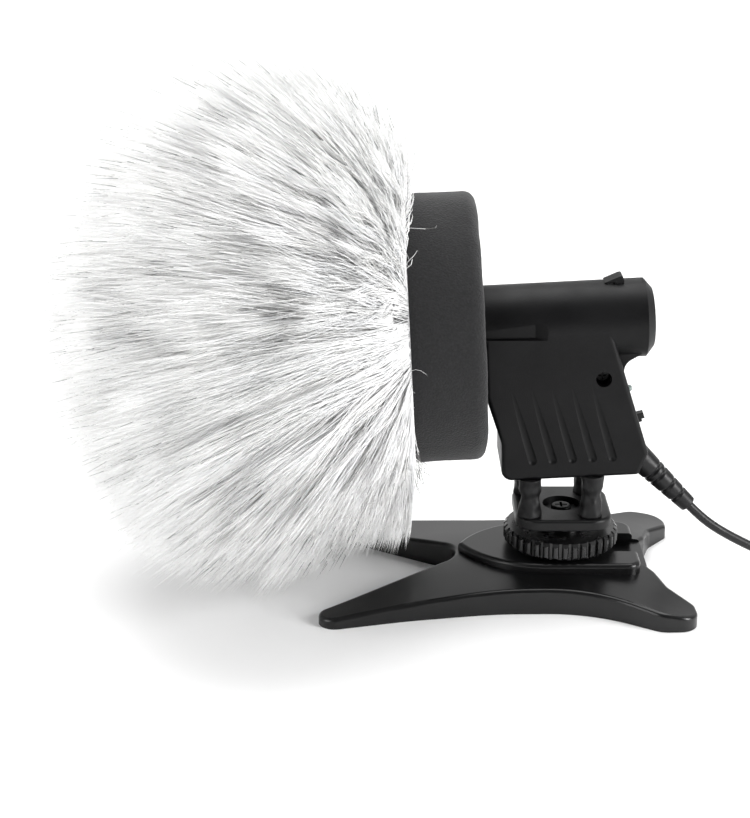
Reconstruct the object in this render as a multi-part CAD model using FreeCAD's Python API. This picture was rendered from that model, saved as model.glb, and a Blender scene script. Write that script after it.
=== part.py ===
"""Camera-top stereo microphone with a furry windscreen, on a shoe shock mount and a table stand.

World frame, in millimetres: the origin is on the table under the mount's thumb wheel, +X towards
the microphone's rear, +Y to its far side and +Z up.  The microphone, its foam and its fur cover
are drawn in the microphone's own frame (x along its axis, z up, origin on the axis above the
mount) and are then placed, drooping a little at the nose.
"""
import FreeCAD
import Part

import math
import os

V = FreeCAD.Vector
X_AXIS, Y_AXIS, Z_AXIS = V(1, 0, 0), V(0, 1, 0), V(0, 0, 1)

# ---- driving dimensions ----------------------------------------------------------------------
MIC_AXIS_X, MIC_AXIS_Z = -0.4, 78.5  # the microphone's axis above the mount
MIC_DROOP_DEG = 3.0  # nose down, as it hangs on its rubber posts
PLAY = 0.3  # between pieces that slide by hand
FIT = 0.05  # radial clearance of a running fit

# table stand
STAND_FLOOR, STAND_WALL = 2.6, 2.2  # height of the hollow underneath, and its wall
STAND_EDGE_TOP, STAND_EDGE_TIP = 7.0, 3.8  # height of the side wall: in the middle, at a leg's tip
STAND_CROWN = 9.2  # height of the top beside the platform
PLATFORM_TOP, PLATFORM_HALF, PLATFORM_END, PLATFORM_POINT = 10.9, 15.8, 22.0, -29.6
SHOE_FLOOR, SHOE_ROOF = 6.9, 9.1  # the cold shoe's slot
SHOE_HALF, SHOE_MOUTH_HALF = 9.35, 6.4
THREAD_R, THREAD_DEPTH, INSERT_R, INSERT_H = 3.175, 5.2, 4.75, 6.0

# shoe mount
FOOT_LENGTH, FOOT_WIDTH, FOOT_THICK = 18.2, 18.4, 1.9
STUD_R = 3.0
WASHER_R, WASHER_BOTTOM, WASHER_TOP = 8.6, 10.95, 12.1
WHEEL_R, WHEEL_BOTTOM, WHEEL_TOP = 16.5, 12.15, 17.05
WHEEL_TEETH, TOOTH_DEPTH, RIDGE_R, WHEEL_CHAMFER = 36, 1.15, 0.95, 0.9
PLATE_LENGTH, PLATE_WIDTH, PLATE_BOTTOM, PLATE_TOP, PLATE_CORNER = 27.4, 26.6, 20.0, 23.3, 6.5
WELL_R, WELL_DEPTH = 5.4, 1.9  # the round well in the plate that holds the screw's head
POST_FRONT, POST_REAR, POST_Y, POST_R, POST_WAIST_R = -9.9, 7.6, 8.6, 3.2, 2.5

# microphone body, in its own frame
BARREL_R, BARREL_WALL = 11.0, 1.8
BARREL_FRONT, BARREL_REAR = -35.8, 21.1
GRIP_HALF = 10.95
GRIP_BOTTOM = -43.3
GRIP_WALL = 1.9
CAP_REAR, CAP_CHAMFER = 23.8, 2.7
BATTERY_R, BATTERY_LENGTH, BATTERY_REAR = 7.25, 50.5, 18.6
SCREW_X, SCREW_Z, SCREW_HOLE_R = 9.1, -14.2, 2.2
SCREW_SEAT = -5.6  # y of the seat under the screw's head
FLUTES, FLUTE_PITCH, FLUTE_R = 5, 5.6, 1.5
REAR_TOP, REAR_BOTTOM = (14.5, -11.6), (21.4, -37.0)  # the grip's sloping rear face
SWITCH_ALONG, LED_ALONG = 7.5, 16.6  # up the rear face from its lower end
SWITCH_TRAVEL = 1.5  # each way
LATCH_HALF, LATCH_TRAVEL = 2.7, 2.4
LATCH_FRONT = 13.4  # the tab overhangs the room that the slide needs in front of this
HEAD_R, GRILLE_R = 11.6, 11.9
HEAD_FRONT, GRILLE_FRONT = -52.0, -97.0

# windscreen, in the microphone's frame
FOAM_R, FOAM_REAR, FOAM_FRONT, FOAM_SHOULDER, FOAM_BORE_R = 37.5, -24.1, -107.0, -76.0, 12.2
HEM_X, HEM_WIDTH = -43.9, 3.2
BACKING_THICK = 0.9
PILE_CENTRE_X, PILE_LIFT = -90.0, 7.0  # the pile stands higher above the axis than below it
PILE_R, PILE_REAR_A, PILE_FRONT_A, PILE_SHELL = 72.0, 62.0, 54.0, 3.0

# cord and plug, in the world frame
CORD_R = 1.35
RELIEF_END, RELIEF_LENGTH, RELIEF_DIP_DEG = V(36.6, 0, 23.1), 25.0, 44.5
RELIEF_ROOT_R, RELIEF_END_R = 4.1, 2.45
RELIEF_SLOTS = 0.38, 0.47, 0.64, 0.80  # where its ring slots are, as shares of its length
CORD_ROUTE = [
    (36.6, 0, 23.1), (40.1, 0, 19.5), (44.6, 0, 15.9), (50.0, 0.1, 12.6), (55.9, 0.2, 9.5),
    (62.0, 0.4, 6.4), (68.3, 0.6, 3.6), (75.0, 0.9, 1.9), (82.0, 1.4, 1.4),
]
COIL_X, COIL_Y, COIL_R, COIL_HALF_WIDTH, COIL_HEIGHT = 84.0, 15.2, 12.2, 4.0, 5.4
PLUG_X, PLUG_Y, PLUG_R = 97.5, 27.0, 3.3
PLUG_PARTS = [("relief", 8.0), ("body", 18.0), ("pin", 14.0)]


# ---- helpers ---------------------------------------------------------------------------------
def box(low, high):
    size = [b - a for a, b in zip(low, high)]
    return Part.makeBox(*size, V(*low))


def cylinder(radius, start, end):
    """A cylinder between two points."""
    start, end = V(*start), V(*end)
    return Part.makeCylinder(radius, (end - start).Length, start, end - start)


def tube(outer, inner, start, end):
    return cylinder(outer, start, end).cut(cylinder(inner, start, end))


def rounded_wire(corners, place):
    """A closed wire through (x, y, radius) corners, each rounded; place turns (x, y) into a point."""
    points = [V(x, y, 0) for x, y, _ in corners]
    edges, before = [], None
    first = None
    for i, (_, _, radius) in enumerate(corners):
        here, back, ahead = points[i], points[i - 1], points[(i + 1) % len(points)]
        to_back, to_ahead = (back - here).normalize(), (ahead - here).normalize()
        half = to_back.getAngle(to_ahead) / 2
        reach = radius / math.tan(half) if radius else 0
        start, end = here + to_back * reach, here + to_ahead * reach
        if before is not None:
            edges.append(Part.LineSegment(place(before), place(start)).toShape())
        if radius:
            middle = (to_back + to_ahead).normalize()
            top = here + middle * (radius / math.sin(half) - radius)
            edges.append(Part.Arc(place(start), place(top), place(end)).toShape())
        first = start if first is None else first
        before = end
    edges.append(Part.LineSegment(place(before), place(first)).toShape())
    return Part.Wire(Part.__sortEdges__(edges))


def flat(point):
    """A plan outline's (x, y) as a point on the table."""
    return V(point.x, point.y, 0)


def upright(y):
    """Places a side outline's (x, z) in the plane at y."""
    return lambda point: V(point.x, y, point.y)


def side_prism(corners, half):
    """A side outline of (x, z, radius) corners, extruded to half on both sides of the middle."""
    return Part.Face(rounded_wire(corners, upright(-half))).extrude(V(0, 2 * half, 0))


def revolve(edges, axis_z=0.0):
    """Turns a closed profile in the XZ plane about the line z = axis_z."""
    face = Part.Face(Part.Wire(edges))
    return face.revolve(V(0, 0, axis_z), X_AXIS, 360)


def profile(points):
    """Straight edges through (x, z) points, closed."""
    corners = [V(x, 0, z) for x, z in points]
    return Part.makePolygon(corners + corners[:1]).Edges


def joined(shapes):
    whole = shapes[0].fuse(shapes[1:]) if len(shapes) > 1 else shapes[0]
    return whole.removeSplitter()


def rounded(shape, radius, chosen):
    """The shape with the chosen edges rounded; chosen tells from an edge whether to round it."""
    return shape.makeFillet(radius, [e for e in shape.Edges if chosen(e)])


def in_plane(edge, axis, value, tolerance=0.01):
    low, high = getattr(edge.BoundBox, axis + "Min"), getattr(edge.BoundBox, axis + "Max")
    return abs(low - value) < tolerance and abs(high - value) < tolerance


def placed(shape):
    """From the microphone's frame to the world's."""
    copy = shape.copy()
    copy.rotate(V(0, 0, 0), Y_AXIS, -MIC_DROOP_DEG)
    copy.translate(V(MIC_AXIS_X, 0, MIC_AXIS_Z))
    return copy


def export(name, shape):
    if not shape.isValid():
        print("NOT VALID", name)
    shape.exportStep("parts/%s.step" % name)
    print("%-18s %d solid(s) %9.1f mm3" % (name, len(shape.Solids), shape.Volume))


# ---- table stand -----------------------------------------------------------------------------
def stand_outline():
    """Four legs: a deep notch between the front pair, a shallow one behind, hollow sides."""
    near = [
        (-30.6, -4.0, 7.0), (-69.6, -28.2, 3.4), (-69.4, -36.0, 4.5), (-44.9, -29.7, 150),
        (-20.0, -25.3, 90), (6.5, -24.9, 42), (25.2, -36.6, 7), (35.9, -36.2, 5.6),
        (35.4, -27.4, 3.0), (28.9, -19.5, 6), (26.4, -12.0, 4), (24.6, -9.0, 1),
    ]
    far = [(x, -y, r) for x, y, r in reversed(near)]
    return rounded_wire(near + far, flat)


def stand_top_height(x, y):
    reach, power = (50.0, 1.5) if x < -9 else (44.0, 3.0)
    share = min(abs(x + 9) / reach, 1.3) ** power
    edge = STAND_EDGE_TOP - (STAND_EDGE_TOP - STAND_EDGE_TIP) * share
    crown = STAND_CROWN - 0.9 * ((x + 5) / 25.0) ** 2
    return edge + (crown - edge) * math.cos(math.pi / 2 * min(1, abs(y) / 36.0)) ** 2


def stand_under_surface():
    """Everything below the stand's gently domed top."""
    columns = range(-80, 61, 10)
    rows = range(-50, 51, 10)
    grid = [[V(x, y, stand_top_height(x, y)) for y in rows] for x in columns]
    surface = Part.BSplineSurface()
    surface.interpolate(grid)
    return surface.toShape().extrude(V(0, 0, -30))


def platform():
    """The raised platform of the shoe, pointed like an ogive towards the front."""
    half, end, point = PLATFORM_HALF, PLATFORM_END, PLATFORM_POINT
    shoulder, bulge = -4.0, V(-20.0, 11.2, 0)
    near = Part.Arc(V(point, 0, 0), V(bulge.x, -bulge.y, 0), V(shoulder, -half, 0)).toShape()
    far = Part.Arc(V(shoulder, half, 0), bulge, V(point, 0, 0)).toShape()
    sides = Part.makePolygon([V(shoulder, -half, 0), V(end, -half, 0), V(end, half, 0),
                              V(shoulder, half, 0)]).Edges
    block = Part.Face(Part.Wire([near] + sides + [far])).extrude(V(0, 0, PLATFORM_TOP))
    block = rounded(block, 4.0, lambda e: in_plane(e, "X", end) and e.BoundBox.ZLength > 5)
    return rounded(block, 1.2, lambda e: in_plane(e, "Z", PLATFORM_TOP) and e.BoundBox.XMin < end - 0.1)


def stand_base():
    outline = stand_outline()
    hollow = Part.Face(outline.makeOffset2D(-STAND_WALL)).extrude(V(0, 0, STAND_FLOOR))
    boss = cylinder(INSERT_R + 1.8, (0, 0, 0), (0, 0, STAND_FLOOR))
    body = Part.Face(outline).extrude(V(0, 0, 20)).common(stand_under_surface())
    body = body.cut(hollow.cut(boss))
    body = rounded(body, 1.2, lambda e: e.BoundBox.ZMin > STAND_FLOOR + 0.1)
    body = body.fuse(platform())
    slot_front = -FOOT_LENGTH / 2 - 0.3
    slot = box((slot_front, -SHOE_HALF, SHOE_FLOOR), (40, SHOE_HALF, SHOE_ROOF))
    mouth = box((-STUD_R - 3.4, -SHOE_MOUTH_HALF, SHOE_ROOF - 0.1), (40, SHOE_MOUTH_HALF, 20))
    insert = cylinder(INSERT_R, (0, 0, -1), (0, 0, INSERT_H))
    return body.cut([slot, mouth, insert]).removeSplitter()


def tripod_insert():
    """A brass insert with a quarter-inch camera thread, open downwards."""
    bar = cylinder(INSERT_R, (0, 0, 0), (0, 0, INSERT_H))
    return bar.cut(cylinder(THREAD_R, (0, 0, -1), (0, 0, THREAD_DEPTH)))


# ---- shoe mount ------------------------------------------------------------------------------
def shoe_foot():
    top = SHOE_ROOF - FIT
    half_l, half_w = FOOT_LENGTH / 2, FOOT_WIDTH / 2
    plate = box((-half_l, -half_w, top - FOOT_THICK), (half_l, half_w, top))
    plate = rounded(plate, 1.2, lambda e: e.Length < FOOT_THICK + 0.1)
    return plate.cut(cylinder(STUD_R, (0, 0, 0), (0, 0, top + 1)))


def shoe_stud():
    """The threaded stud from the foot up into the mount plate."""
    stud = cylinder(STUD_R, (0, 0, SHOE_ROOF - FIT - FOOT_THICK), (0, 0, PLATE_BOTTOM))
    return stud.cut(cylinder(1.3, (0, 0, PLATE_BOTTOM - 6), (0, 0, PLATE_BOTTOM)))


def clamp_washer():
    return tube(WASHER_R, STUD_R + FIT, (0, 0, WASHER_BOTTOM), (0, 0, WASHER_TOP))


def thumb_wheel():
    """Rounded upright ridges all round, with the rim's two edges bevelled."""
    middle = (WHEEL_BOTTOM + WHEEL_TOP) / 2
    half, bevel = (WHEEL_TOP - WHEEL_BOTTOM) / 2, WHEEL_CHAMFER
    rim = [(0, -half), (WHEEL_R - bevel, -half), (WHEEL_R, bevel - half), (WHEEL_R, half - bevel),
           (WHEEL_R - bevel, half), (0, half)]
    corners = [V(r, 0, middle + z) for r, z in rim]
    face = Part.Face(Part.Wire(Part.makePolygon(corners + corners[:1]).Edges))
    wheel = face.revolve(V(0, 0, 0), Z_AXIS, 360)
    core = cylinder(WHEEL_R - TOOTH_DEPTH, (0, 0, WHEEL_BOTTOM - 1), (0, 0, WHEEL_TOP + 1))
    at = WHEEL_R - RIDGE_R
    ridge = cylinder(RIDGE_R, (at, 0, WHEEL_BOTTOM - 1), (at, 0, WHEEL_TOP + 1))
    ridges = []
    for k in range(WHEEL_TEETH):
        turned = ridge.copy()
        turned.rotate(V(0, 0, 0), Z_AXIS, k * 360 / WHEEL_TEETH)
        ridges.append(turned)
    wheel = wheel.common(core.fuse(ridges)).cut(cylinder(STUD_R + FIT, (0, 0, 0), (0, 0, 40)))
    dish = cylinder(WHEEL_R - 4.2, (0, 0, WHEEL_TOP - 0.8), (0, 0, WHEEL_TOP + 1))
    return wheel.cut(dish.cut(cylinder(6.5, (0, 0, 0), (0, 0, 40))))


def mount_plate():
    half_l, half_w = PLATE_LENGTH / 2, PLATE_WIDTH / 2
    corners = [(-half_l, -half_w, PLATE_CORNER), (half_l, -half_w, PLATE_CORNER),
               (half_l, half_w, PLATE_CORNER), (-half_l, half_w, PLATE_CORNER)]
    plate = Part.Face(rounded_wire(corners, flat)).extrude(V(0, 0, PLATE_TOP - PLATE_BOTTOM))
    plate.translate(V(0, 0, PLATE_BOTTOM))
    plate = rounded(plate, 0.9, lambda e: in_plane(e, "Z", PLATE_TOP))
    plate = rounded(plate, 0.5, lambda e: in_plane(e, "Z", PLATE_BOTTOM))
    well = cylinder(WELL_R, (0, 0, PLATE_TOP - WELL_DEPTH), (0, 0, 40))
    return plate.cut([well, cylinder(1.35, (0, 0, 0), (0, 0, 40))])


def mount_screw():
    """The cross-head screw that holds the plate to the stud."""
    seat = PLATE_TOP - WELL_DEPTH
    head = rounded(cylinder(2.9, (0, 0, seat), (0, 0, seat + 1.5)), 0.7,
                   lambda e: in_plane(e, "Z", seat + 1.5))
    cross = [box((-1.8, -0.35, seat + 0.5), (1.8, 0.35, 40)), box((-0.35, -1.8, seat + 0.5), (0.35, 1.8, 40))]
    shank = cylinder(1.3, (0, 0, PLATE_BOTTOM - 6), (0, 0, seat))
    return head.fuse(shank).cut(cross)


def rubber_post(x, y):
    """A waisted rubber post with a bulge half way, cut off by the drooping grip."""
    low, high = PLATE_TOP, MIC_AXIS_Z + GRIP_BOTTOM + 2.0
    tall = high - low
    rings = [(0, POST_R), (0.14, POST_R), (0.3, POST_WAIST_R), (0.42, POST_R - 0.2),
             (0.58, POST_R - 0.2), (0.7, POST_WAIST_R), (0.84, POST_R), (1, POST_R)]
    corners = [V(0, 0, low)] + [V(r, 0, low + share * tall) for share, r in rings] + [V(0, 0, high)]
    face = Part.Face(Part.Wire(Part.makePolygon(corners + corners[:1]).Edges))
    post = face.revolve(V(0, 0, 0), Z_AXIS, 360)
    post.translate(V(x, y, 0))
    grip_above = placed(box((-60, -60, GRIP_BOTTOM - FIT), (60, 60, 0)))
    return post.cut(grip_above)


# ---- microphone body -------------------------------------------------------------------------
def grip_corners(inset=0.0):
    """The pistol grip's side outline, up into the barrel; inset draws it that much smaller."""
    top = -0.3 - inset
    front = -23.7 + inset
    return [
        (front, top, 0), (front, -17.9, 2), (-19.7 + inset, -32.2, 6),
        (-20.1 + inset, GRIP_BOTTOM + inset, 3.0), (18.6 - inset, GRIP_BOTTOM + inset, 1.2),
        (REAR_BOTTOM[0] - inset, REAR_BOTTOM[1] + inset / 2, 1.2), (11.5 - inset, top, 0),
    ]


def flute(k, side):
    """A shallow slanting channel that fades out at its top."""
    top = V(-16.5 + FLUTE_PITCH * k, side * (GRIP_HALF + FLUTE_R), -16.2)
    foot = V(-11.2 + FLUTE_PITCH * k, side * (GRIP_HALF + FLUTE_R - 0.65), -37.4)
    channel = Part.makeCylinder(FLUTE_R, (foot - top).Length, top, foot - top)
    return channel.fuse(Part.makeSphere(FLUTE_R, foot))


def side_recess(side):
    """A wedge-shaped recess that deepens towards the rear and ends in a sloping wall."""
    outer = [(-30, 0.8), (-5.4, 3.1), (-5.6, -2.2), (-30, -0.9)]
    inner = [(-30, 0.8), (-9.4, 2.4), (-9.5, -1.5), (-30, -0.9)]
    wires = []
    for points, depth in ((outer, -0.2), (inner, 1.15)):
        y = side * (GRIP_HALF - depth)
        corners = [V(x, y, z) for x, z in points]
        wires.append(Part.makePolygon(corners + corners[:1]))
    return Part.makeLoft(wires, True, True)


def rear_point(along, out):
    """A point up the grip's rear face from its lower end, and out of that face."""
    up = V(REAR_TOP[0] - REAR_BOTTOM[0], 0, REAR_TOP[1] - REAR_BOTTOM[1]).normalize()
    outward = V(up.z, 0, -up.x)
    return V(REAR_BOTTOM[0], 0, REAR_BOTTOM[1]) + up * along + outward * out


def rear_block(along, half_along, half_width, low, high):
    """A block square to the grip's rear face, from low to high out of it."""
    corners = [rear_point(along + a, o) for a, o in
               ((-half_along, low), (half_along, low), (half_along, high), (-half_along, high))]
    moved = [V(c.x, -half_width, c.z) for c in corners]
    return Part.Face(Part.makePolygon(moved + moved[:1])).extrude(V(0, 2 * half_width, 0))


def case_outside():
    barrel = cylinder(BARREL_R, (BARREL_FRONT, 0, 0), (BARREL_REAR, 0, 0))
    grip = side_prism(grip_corners(), GRIP_HALF)
    grip = rounded(grip, 1.4, lambda e: e.BoundBox.ZMin < -2 and (
        in_plane(e, "Y", -GRIP_HALF) or in_plane(e, "Y", GRIP_HALF)))
    web = side_prism([(2, -4, 0), (2, -14.4, 0), (15.0, -14.4, 0), (15.4, -11.1, 3.8), (20.7, -8.3, 0),
                      (20.7, -4, 0)], 7.0)
    return joined([barrel, grip, web])


def case_inside():
    bore = cylinder(BARREL_R - BARREL_WALL, (BARREL_FRONT - 1, 0, 0), (BARREL_REAR + 1, 0, 0))
    room = side_prism(grip_corners(GRIP_WALL), GRIP_HALF - GRIP_WALL)
    boss = cylinder(3.4, (SCREW_X, -GRIP_HALF, SCREW_Z), (SCREW_X, GRIP_HALF, SCREW_Z))
    return bore.fuse(room.cut(boss))


def latch_recess():
    lane = tube(BARREL_R + 1, BARREL_R - 1.15, (LATCH_FRONT - LATCH_TRAVEL - PLAY, 0, 0), (BARREL_REAR + 1, 0, 0))
    return lane.common(box((-50, -LATCH_HALF - 0.2, 5), (50, LATCH_HALF + 0.2, 20)))


def case_shells():
    """The two halves of the moulded case, with everything that is cut into them."""
    relief = strain_relief_local()
    holes = [
        cylinder(SCREW_HOLE_R, (SCREW_X, -20, SCREW_Z), (SCREW_X, SCREW_SEAT, SCREW_Z)),
        cylinder(1.25, (SCREW_X, SCREW_SEAT - 1, SCREW_Z), (SCREW_X, 7.0, SCREW_Z)),
        rear_block(SWITCH_ALONG, 1.3 + SWITCH_TRAVEL + 0.2, 1.3, -4, 3),
        cylinder(1.05, rear_point(LED_ALONG, -4), rear_point(LED_ALONG, 3)),
        latch_recess(),
        relief,
    ]
    cuts = [flute(k, side) for k in range(FLUTES) for side in (-1, 1)]
    cuts += [side_recess(side) for side in (-1, 1)]
    case = case_outside().cut([case_inside()] + holes + cuts)
    near = case.common(box((-80, -30, -80), (60, 0, 40)))
    far = case.common(box((-80, 0, -80), (60, 30, 40)))
    return near, far


def case_screw():
    top = SCREW_SEAT - 1.4
    head = rounded(cylinder(2.1, (SCREW_X, SCREW_SEAT, SCREW_Z), (SCREW_X, top, SCREW_Z)), 0.5,
                   lambda e: in_plane(e, "Y", top))
    cross = [box((SCREW_X - 1.2, top - 0.5, SCREW_Z - 0.3), (SCREW_X + 1.2, top + 0.6, SCREW_Z + 0.3)),
             box((SCREW_X - 0.3, top - 0.5, SCREW_Z - 1.2), (SCREW_X + 0.3, top + 0.6, SCREW_Z + 1.2))]
    shank = cylinder(1.2, (SCREW_X, SCREW_SEAT, SCREW_Z), (SCREW_X, 6.5, SCREW_Z))
    return head.fuse(shank).cut(cross)


def circuit_board():
    board = box((-14, -0.6, -38), (11.8, 0.6, -19))
    parts = [box((x, 0.6, z), (x + w, 0.6 + t, z + h)) for x, z, w, h, t in
             ((-8, -30, 5, 4, 1.5), (0, -34, 3.2, 1.6, 0.8), (1.5, -25, 3.0, 3.0, 1.0), (-12, -36, 2.4, 4, 2.2))]
    return joined([board] + parts)


def switch_body():
    return rear_block(SWITCH_ALONG, 4.6, 2.4, -6.0, -3.2)


def switch_knob():
    stem = rear_block(SWITCH_ALONG, 1.3, 1.1, -3.1, 1.2)
    cap = rear_block(SWITCH_ALONG + 0.35, 0.9, 1.1, 1.0, 2.1)
    return joined([stem, cap])


def power_led():
    lens = cylinder(1.0, rear_point(LED_ALONG, -3.4), rear_point(LED_ALONG, 0.25))
    return lens.fuse(Part.makeSphere(1.0, rear_point(LED_ALONG, 0.25)))


def battery():
    """One AA cell, its button forward."""
    front = BATTERY_REAR - BATTERY_LENGTH
    can = rounded(cylinder(BATTERY_R, (front + 1.0, 0, 0), (BATTERY_REAR, 0, 0)), 0.6,
                  lambda e: e.Length > 20)
    return can.fuse(cylinder(2.7, (front, 0, 0), (front + 1.5, 0, 0)))


def front_contact():
    end = BATTERY_REAR - BATTERY_LENGTH
    plate = cylinder(BARREL_R - BARREL_WALL, (end - 1.6, 0, 0), (end - 0.4, 0, 0))
    return plate.fuse(cylinder(3.2, (end - 0.4, 0, 0), (end, 0, 0)))


def battery_spring():
    """A closed cone with the outline of the coiled contact spring inside the cap."""
    outer = Part.makeCone(3.2, 6.4, 2.0, V(BATTERY_REAR + 0.02, 0, 0), X_AXIS)
    return outer.cut(Part.makeCone(2.4, 5.6, 2.0, V(BATTERY_REAR + 0.02, 0, 0), X_AXIS))


def battery_cap():
    """Bevelled end cap with a spigot that enters the barrel, and a pocket for the latch's tongue."""
    r, inner = BARREL_R, BARREL_R - BARREL_WALL - 0.1
    outline = [(BARREL_REAR, 0), (BARREL_REAR, r), (CAP_REAR - CAP_CHAMFER + 0.5, r),
               (CAP_REAR, r - CAP_CHAMFER), (CAP_REAR, 0)]
    cap = revolve(profile(outline))
    spigot = tube(inner, inner - 1.2, (BARREL_REAR - 2.4, 0, 0), (BARREL_REAR, 0, 0))
    tongue = tube(r - 0.1, r - 1.2, (BARREL_REAR - 1, 0, 0), (BARREL_REAR + 0.8, 0, 0))
    tongue = tongue.common(box((0, -LATCH_HALF - 0.1, 5), (50, LATCH_HALF + 0.1, 20)))
    return joined([cap, spigot]).cut(tongue)


def cap_latch():
    """A curved slide flush with the barrel, its overhanging thumb tab, and a tongue into the cap."""
    plate = tube(BARREL_R - 0.15, BARREL_R - 1.1, (LATCH_FRONT, 0, 0), (BARREL_REAR + 0.6, 0, 0))
    plate = plate.common(box((-50, -LATCH_HALF, 5), (50, LATCH_HALF, 20)))
    tab = [(LATCH_FRONT, 10.0, 0), (LATCH_FRONT, 11.1, 0), (10.5, 11.1, 0), (14.6, 12.7, 0.4), (15.5, 12.8, 0.3),
           (15.9, 11.4, 0), (15.8, 10.0, 0)]
    return joined([plate, side_prism(tab, LATCH_HALF - 0.2)])


def head_tube():
    """The metal tube between the plastic barrel and the grille, with a spigot into the barrel."""
    inner = BARREL_R - BARREL_WALL
    sleeve = tube(HEAD_R, HEAD_R - 1.2, (HEAD_FRONT, 0, 0), (BARREL_FRONT, 0, 0))
    spigot = tube(inner - FIT, inner - 1.0, (BARREL_FRONT - 2, 0, 0), (BARREL_FRONT + 2, 0, 0))
    collar = tube(HEAD_R, inner - 1.0, (BARREL_FRONT - 2, 0, 0), (BARREL_FRONT, 0, 0))
    return joined([sleeve, spigot, collar])


def head_grille():
    """A slotted basket with a domed nose."""
    r, wall = GRILLE_R, 0.9
    nose = GRILLE_FRONT + r
    basket = joined([cylinder(r, (nose, 0, 0), (HEAD_FRONT, 0, 0)), Part.makeSphere(r, V(nose, 0, 0))])
    inside = joined([cylinder(r - wall, (nose, 0, 0), (HEAD_FRONT, 0, 0)), Part.makeSphere(r - wall, V(nose, 0, 0))])
    basket = basket.cut(inside)
    slots = []
    for k in range(6):
        for x in (-83, -71, -59.5):
            slot = box((x, -1.6, 0), (x + 8.5, 1.6, 20))
            slot.rotate(V(0, 0, 0), X_AXIS, k * 60)
            slots.append(slot)
    return basket.cut(slots)


def capsule_carrier():
    """A disc across the grille's rear with a tongue that carries the two capsules."""
    disc = cylinder(GRILLE_R - 1.1, (HEAD_FRONT - 4.5, 0, 0), (HEAD_FRONT - 2.5, 0, 0))
    tongue = box((-82, -5.5, -1.0), (HEAD_FRONT - 4.5, 5.5, 1.0))
    return disc.fuse(tongue)


def capsule(side):
    """One electret capsule of the crossed pair, above or below the carrier's tongue."""
    low = 1.0 if side > 0 else -1.0
    body = Part.makeCylinder(4.0, 6.0, V(-3.0, 0, 0), X_AXIS)
    body.rotate(V(0, 0, 0), Z_AXIS, side * 45)
    body.translate(V(-76, 0, low + side * 4.05))
    return body


# ---- cord ------------------------------------------------------------------------------------
def strain_relief():
    """A tapered rubber sleeve with ring slots, from the grip's lower rear corner."""
    grooves = []
    slope = math.radians(RELIEF_DIP_DEG)
    direction = V(math.cos(slope), 0, -math.sin(slope))
    root = RELIEF_END - direction * RELIEF_LENGTH
    sleeve = Part.makeCone(RELIEF_ROOT_R, RELIEF_END_R, RELIEF_LENGTH, root, direction)
    for share in RELIEF_SLOTS:
        along = RELIEF_LENGTH * share
        radius = RELIEF_ROOT_R + (RELIEF_END_R - RELIEF_ROOT_R) * along / RELIEF_LENGTH
        ring = Part.makeCylinder(radius + 1, 0.7, root + direction * along, direction)
        grooves.append(ring.cut(Part.makeCylinder(radius - 0.45, 0.7, root + direction * along, direction)))
    return sleeve.cut(grooves)


def strain_relief_local():
    """The same piece in the microphone's frame, without its grooves, to cut its seat in the case."""
    slope = math.radians(RELIEF_DIP_DEG)
    direction = V(math.cos(slope), 0, -math.sin(slope))
    root = RELIEF_END - direction * RELIEF_LENGTH
    seat = Part.makeCone(RELIEF_ROOT_R, RELIEF_END_R, RELIEF_LENGTH, root, direction)
    seat.translate(V(-MIC_AXIS_X, 0, -MIC_AXIS_Z))
    seat.rotate(V(0, 0, 0), Y_AXIS, MIC_DROOP_DEG)
    return seat


def cord_path(route):
    """Straight runs joined by tangent arcs, each as large as its two runs allow."""
    points = [V(*p) for p in route]
    edges, at, radii = [], points[0], []
    for back, here, ahead in zip(points, points[1:], points[2:]):
        to_back, to_ahead = (back - here), (ahead - here)
        shorter = min(to_back.Length, to_ahead.Length)
        turn = math.pi - to_back.getAngle(to_ahead)
        radius = 0.45 * shorter / math.tan(turn / 2)
        radii.append(round(radius, 1))
        to_back.normalize()
        to_ahead.normalize()
        start, end = here + to_back * (0.45 * shorter), here + to_ahead * (0.45 * shorter)
        bisector = (to_back + to_ahead).normalize()
        top = here + bisector * (radius / math.cos(turn / 2) - radius)
        edges.append(Part.LineSegment(at, start).toShape())
        edges.append(Part.Arc(start, top, end).toShape())
        at = end
    edges.append(Part.LineSegment(at, points[-1]).toShape())
    print("cord radii", radii)
    return Part.Wire(edges)


def cord():
    path = cord_path(CORD_ROUTE)
    first = V(*CORD_ROUTE[1]) - V(*CORD_ROUTE[0])
    ring = Part.Wire(Part.makeCircle(CORD_R, V(*CORD_ROUTE[0]), first))
    swept = path.makePipeShell([ring], True, False)
    print("cord tube length %.1f, volume over section %.4f" % (
        path.Length, swept.Volume / (math.pi * CORD_R ** 2 * path.Length)))
    return swept.cut([cord_coil(), strain_relief()])


def cord_coil():
    """The outer shape of a neat coil of the rest of the cord, lying on the table."""
    low, high = COIL_R - COIL_HALF_WIDTH, COIL_R + COIL_HALF_WIDTH
    ring = Part.makeCylinder(high, COIL_HEIGHT, V(COIL_X, COIL_Y, 0))
    ring = ring.cut(Part.makeCylinder(low, COIL_HEIGHT, V(COIL_X, COIL_Y, 0)))
    return rounded(ring, 1.3, lambda e: e.Length > 40)


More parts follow.
